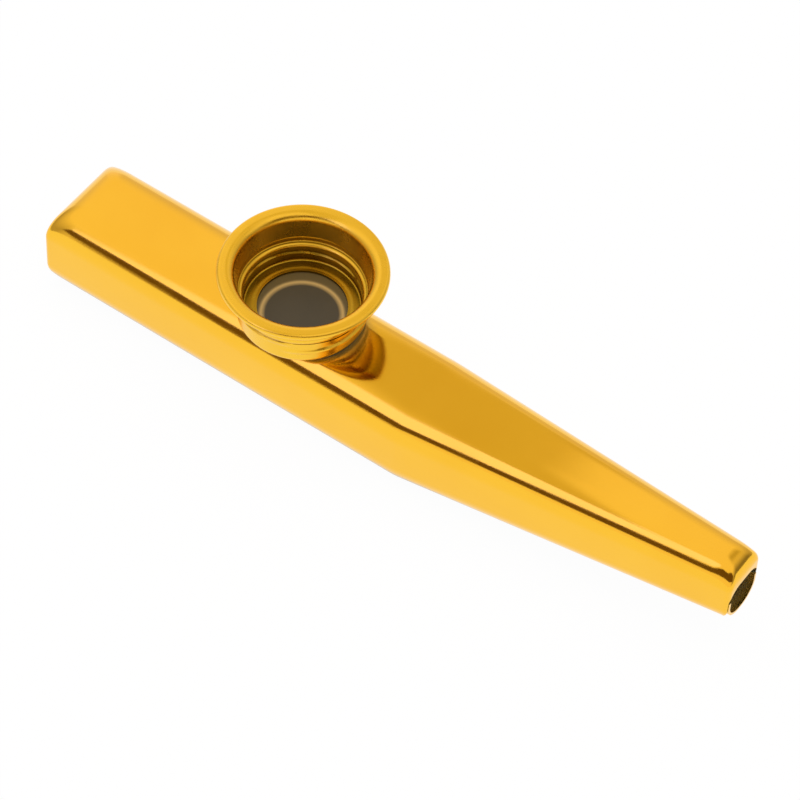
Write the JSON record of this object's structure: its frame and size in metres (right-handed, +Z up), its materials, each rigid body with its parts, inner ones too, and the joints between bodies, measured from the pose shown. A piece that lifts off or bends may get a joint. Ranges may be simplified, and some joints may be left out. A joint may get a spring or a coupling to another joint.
{
  "type": "kazoo",
  "caption": "Sheet-metal kazoo: a long hollow body that narrows to one end, with a flared screw cap on a threaded cup that clamps a thin humming membrane.",
  "frame": {"origin": "on the rest plane, under the middle of the body's length and width", "axes": "+X along the body to the narrow end, +Y across the body, +Z up through the screw cap"},
  "size_m": [0.121, 0.0256, 0.0258],
  "materials": {
    "shell_gold": "gold anodised, satin",
    "tray_gold": "gold anodised, satin",
    "cup_gold": "gold anodised, satin",
    "cap_gold": "gold anodised, satin",
    "ring_card": "matte",
    "film": "smooth, slightly see-through"
  },
  "bodies": {
    "body": {"upper_shell": "shell_gold", "lower_shell": "tray_gold", "threaded_cup": "cup_gold"},
    "membrane": {"membrane_ring": "ring_card", "membrane_film": "film"},
    "cap": {"screw_cap": "cap_gold"}
  },
  "joints": [
    {"name": "cap_turn", "type": "hinge", "parent": "body", "child": "membrane", "pos_m": [-0.018, 0, 0.0166], "axis": [0, 0, 1], "range_deg": [0, 480]},
    {"name": "cap_lift", "type": "slide", "parent": "membrane", "child": "cap", "axis": [0, 0, 1], "range_m": [0, 0.002]}
  ],
  "couplings": [
    {"joint": "cap_lift", "follows": "cap_turn", "m_per_rad": 0.00023873}
  ]
}
